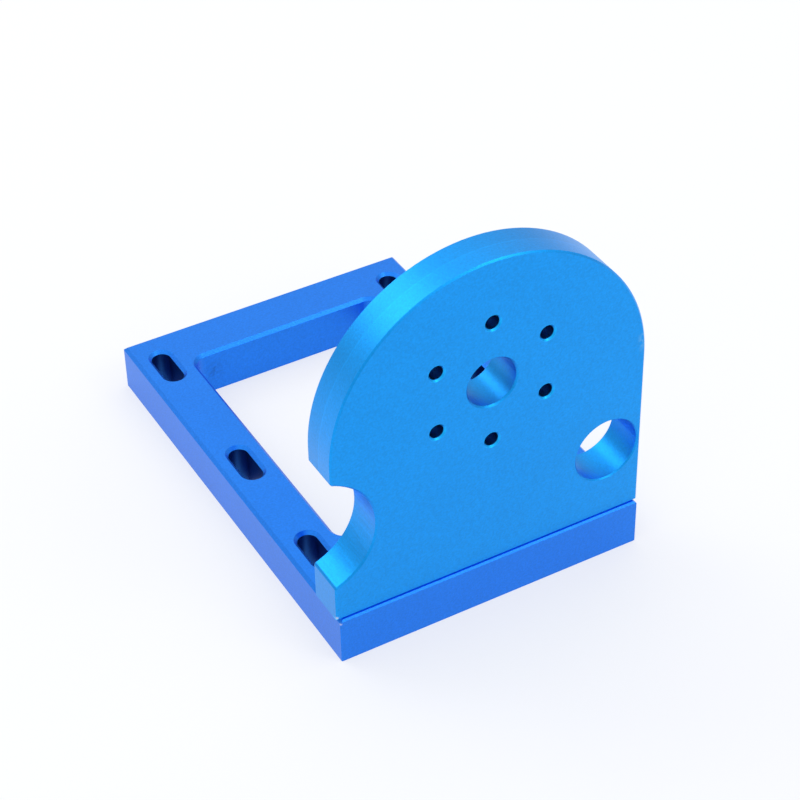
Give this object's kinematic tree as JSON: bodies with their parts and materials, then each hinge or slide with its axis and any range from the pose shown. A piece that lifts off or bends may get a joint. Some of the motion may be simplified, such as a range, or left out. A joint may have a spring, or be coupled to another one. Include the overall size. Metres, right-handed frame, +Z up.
{
  "type": "motor mounting bracket",
  "caption": "Blue anodised motor bracket: a slotted rectangular base frame with a window carries an upright round-headed plate with a ring of bolt holes, a side bore and a round notch.",
  "frame": {"origin": "on the standing surface, under the middle of the bracket's outer box", "axes": "+X across the bracket to the right of the upright's front face, +Y from the upright to the rear bar, +Z up"},
  "size_m": [0.0776, 0.1132, 0.0928],
  "materials": {
    "frame_anodised": "bead blasted and anodised violet blue",
    "upright_anodised": "bead blasted and anodised azure blue",
    "screw_steel": "black oxide"
  },
  "bodies": {
    "root": {"base_frame": "frame_anodised", "upright_plate": "upright_anodised", "cap_screw_left": "screw_steel", "cap_screw_middle": "screw_steel", "cap_screw_right": "screw_steel"}
  },
  "joints": []
}
